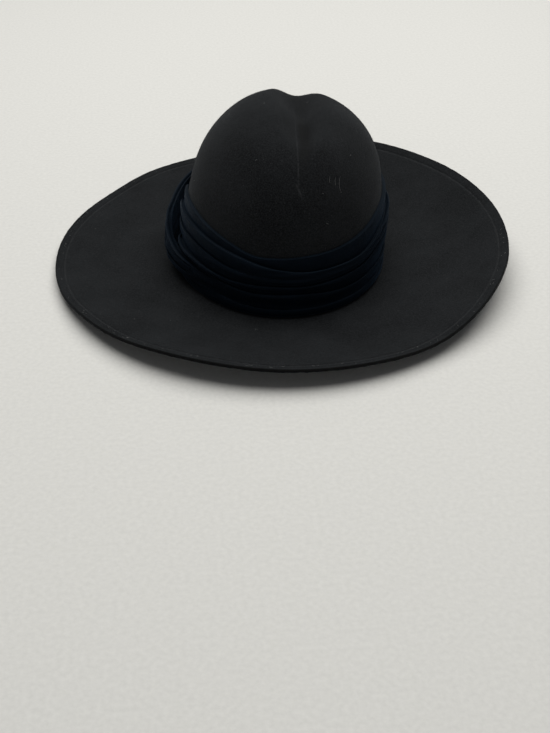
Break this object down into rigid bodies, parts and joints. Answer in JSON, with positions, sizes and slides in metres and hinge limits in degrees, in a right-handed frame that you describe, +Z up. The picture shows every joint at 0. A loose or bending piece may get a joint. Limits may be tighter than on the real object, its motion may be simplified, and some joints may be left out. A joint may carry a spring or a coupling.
{
  "type": "felt hat",
  "caption": "Wide-brimmed felt hat with a centre-creased round crown, an upswept brim with a pressed line inside its edge, and a draped pleated cloth band.",
  "frame": {"origin": "centre of the head opening, on the surface that the hat rests on", "axes": "+Z up through the crown, -Y towards the front of the hat, +X towards its wearer's left"},
  "size_m": [0.397, 0.398, 0.1473],
  "materials": {
    "felt": "black pressed wool felt, matt, with a short soft nap",
    "band_cloth": "blue-black fine woven cloth, soft low sheen, laid in pleats"
  },
  "bodies": {
    "root": {"felt_body": "felt", "draped_band": "band_cloth"}
  },
  "joints": []
}
